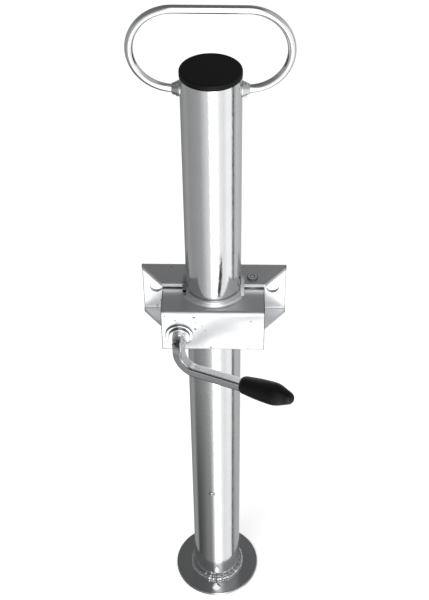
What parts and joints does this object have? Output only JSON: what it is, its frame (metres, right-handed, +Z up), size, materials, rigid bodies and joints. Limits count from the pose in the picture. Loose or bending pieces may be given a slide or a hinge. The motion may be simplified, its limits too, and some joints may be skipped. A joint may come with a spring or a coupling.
{
  "type": "trailer prop stand",
  "caption": "Steel prop stand for a trailer: a round leg on a disc foot with a carry handle and end cap, held in a bolt-on screw clamp with a hand crank.",
  "frame": {"origin": "centre of the foot's underside, where the leg's axis meets the ground", "axes": "+Z up along the leg; +Y towards the trailer frame that the bracket bolts to, so the crank is on the -Y side; +X to the right when facing the crank"},
  "size_m": [0.166, 0.1871, 0.841],
  "materials": {
    "zinc_plated_tube": "bright zinc plate, satin",
    "zinc_plated_sheet": "bright zinc plate, satin",
    "zinc_plated_forging": "zinc plate on a forged skin",
    "zinc_plated_bar": "bright zinc plate on drawn bar",
    "zinc_plated_weld": "zinc plate on a weld bead",
    "cap_plastic": "matte black moulding",
    "grip_plastic": "satin black moulding"
  },
  "bodies": {
    "bracket": {"mounting_bracket": "zinc_plated_sheet", "pivot_rivet": "zinc_plated_sheet", "pivot_washers": "zinc_plated_sheet", "clamp_nut": "zinc_plated_forging", "nut_weld": "zinc_plated_weld"},
    "jaw": {"clamp_jaw": "zinc_plated_sheet", "face_washer": "zinc_plated_sheet"},
    "crank": {"clamp_screw": "zinc_plated_forging", "retaining_ring": "zinc_plated_sheet", "head_washer": "zinc_plated_sheet", "crank_arm": "zinc_plated_forging", "crank_grip": "grip_plastic"},
    "leg": {"leg_tube": "zinc_plated_tube", "foot_plate": "zinc_plated_sheet", "foot_weld": "zinc_plated_weld", "carry_handle": "zinc_plated_bar", "handle_weld_left": "zinc_plated_weld", "handle_weld_right": "zinc_plated_weld", "end_cap": "cap_plastic"}
  },
  "joints": [
    {"name": "leg_slide", "type": "slide", "parent": "bracket", "child": "leg", "axis": [0, 0, 1], "range_m": [-0.234, 0.43]},
    {"name": "jaw_swing", "type": "hinge", "parent": "bracket", "child": "jaw", "pos_m": [0.0424, 0.0085, 0.477], "axis": [0, 0, 1], "range_deg": [0, 1.93]},
    {"name": "crank_turn", "type": "hinge", "parent": "jaw", "child": "crank", "pos_m": [-0.0364, -0.0427, 0.4728], "axis": [0, -1, 0], "range_deg": [0, 540]}
  ],
  "couplings": [
    {"joint": "jaw_swing", "follows": "crank_turn", "ratio": 0.003535}
  ]
}
